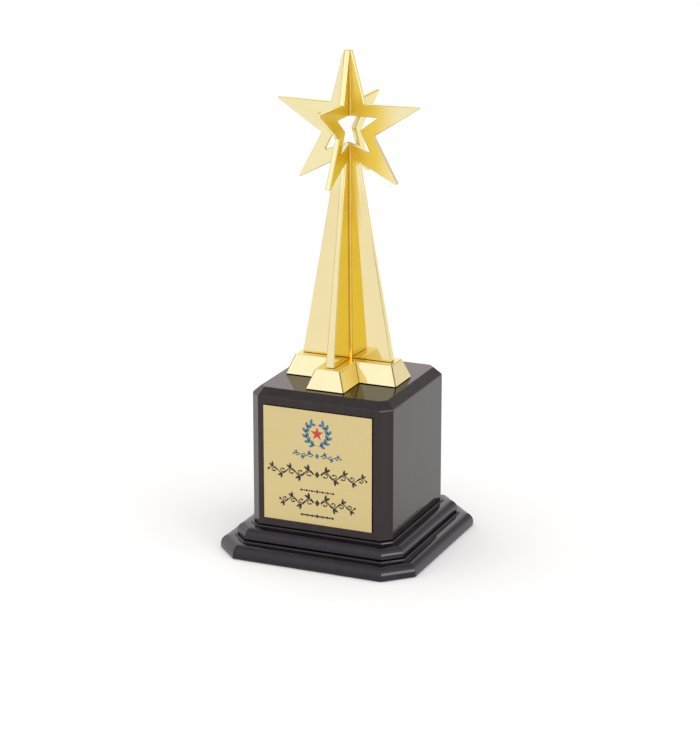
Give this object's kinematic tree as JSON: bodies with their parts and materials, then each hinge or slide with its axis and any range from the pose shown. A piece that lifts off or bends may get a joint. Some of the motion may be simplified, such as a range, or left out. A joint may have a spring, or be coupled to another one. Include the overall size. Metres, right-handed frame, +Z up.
{
  "type": "star trophy",
  "caption": "Award trophy: two crossed hollow gold stars on tapering fins and a cross foot, on a stepped black octagonal base with a plain gold plaque.",
  "frame": {"origin": "centre of the base pad's underside, on the surface the trophy stands on", "axes": "+Z up along the figure's axis, -Y out of the plaque, +X to the right as the plaque is faced"},
  "size_m": [0.1344, 0.1344, 0.3175],
  "materials": {
    "gold_plate": "mirror gold plating",
    "black_lacquer": "high-gloss black lacquer",
    "plaque_gold": "satin gold sheet with polished edge",
    "adhesive_film": "double-sided film",
    "zinc_steel": "bright zinc",
    "insert_brass": "turned",
    "pad_felt": "dense felt"
  },
  "bodies": {
    "root": {"star_plate_wide": "gold_plate", "star_plate_cross": "gold_plate", "figure_foot": "gold_plate", "foot_insert": "insert_brass", "tie_rod": "zinc_steel", "flat_washer": "zinc_steel", "spring_washer": "zinc_steel", "hex_nut": "zinc_steel", "wood_screw_1": "zinc_steel", "wood_screw_2": "zinc_steel", "wood_screw_3": "zinc_steel", "wood_screw_4": "zinc_steel", "base_block": "black_lacquer", "upper_tier": "black_lacquer", "lower_tier": "black_lacquer", "name_plaque": "plaque_gold", "plaque_adhesive": "adhesive_film", "base_pad": "pad_felt"}
  },
  "joints": []
}
